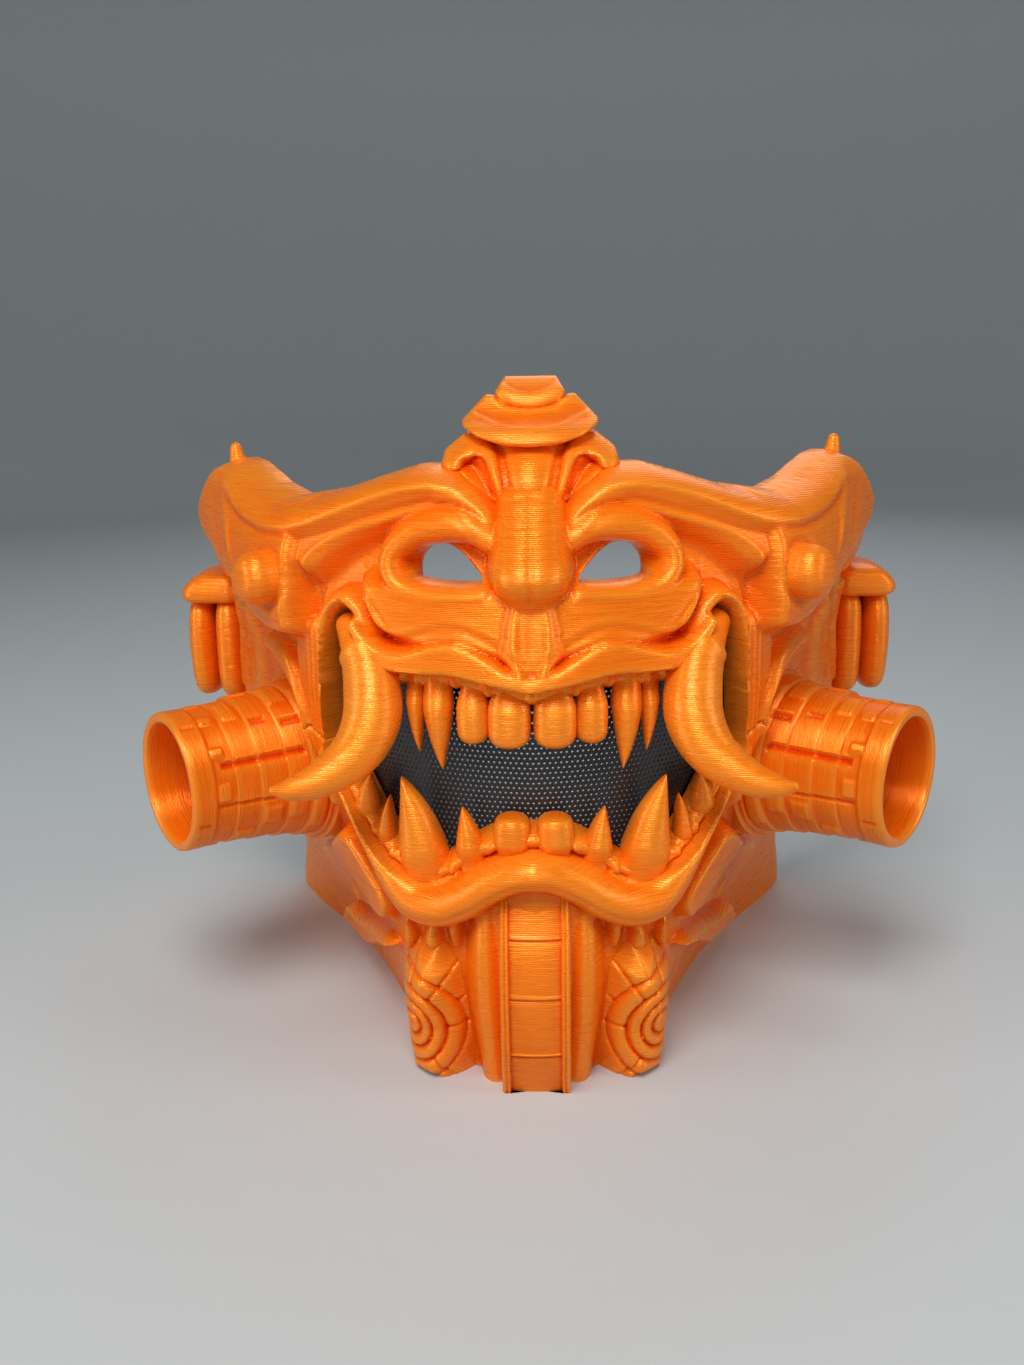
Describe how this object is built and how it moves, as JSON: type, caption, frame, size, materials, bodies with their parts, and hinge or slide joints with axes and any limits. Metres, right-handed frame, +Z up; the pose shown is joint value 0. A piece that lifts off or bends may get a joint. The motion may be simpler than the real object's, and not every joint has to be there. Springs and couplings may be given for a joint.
{
  "type": "oni half mask",
  "caption": "Moulded demon half mask with an open fanged mouth over a black screen, curved tusks, cheek canisters and a plated crest; hollow behind for a wearer's lower face.",
  "frame": {"origin": "centre of the bounding box's bottom face, on the surface the mask stands on", "axes": "+X to the mask's left-right width, -Y the way the face looks, +Z up"},
  "size_m": [0.2142, 0.1424, 0.168],
  "materials": {
    "printed_orange": "silky printed plastic with fine layer lines, slightly translucent",
    "screen_black": "black pierced sheet"
  },
  "bodies": {
    "root": {"canister_left": "printed_orange", "canister_right": "printed_orange", "cheek_bolt_left": "printed_orange", "cheek_bolt_right": "printed_orange", "chin_band": "printed_orange", "chin_pod_left": "printed_orange", "chin_pod_right": "printed_orange", "crest_low": "printed_orange", "crest_mid": "printed_orange", "crest_top": "printed_orange", "ear_guard_left": "printed_orange", "ear_guard_right": "printed_orange", "face_shell": "printed_orange", "mesh_screen": "screen_black", "teeth_lower": "printed_orange", "teeth_upper": "printed_orange", "tusk_left": "printed_orange", "tusk_right": "printed_orange"}
  },
  "joints": []
}
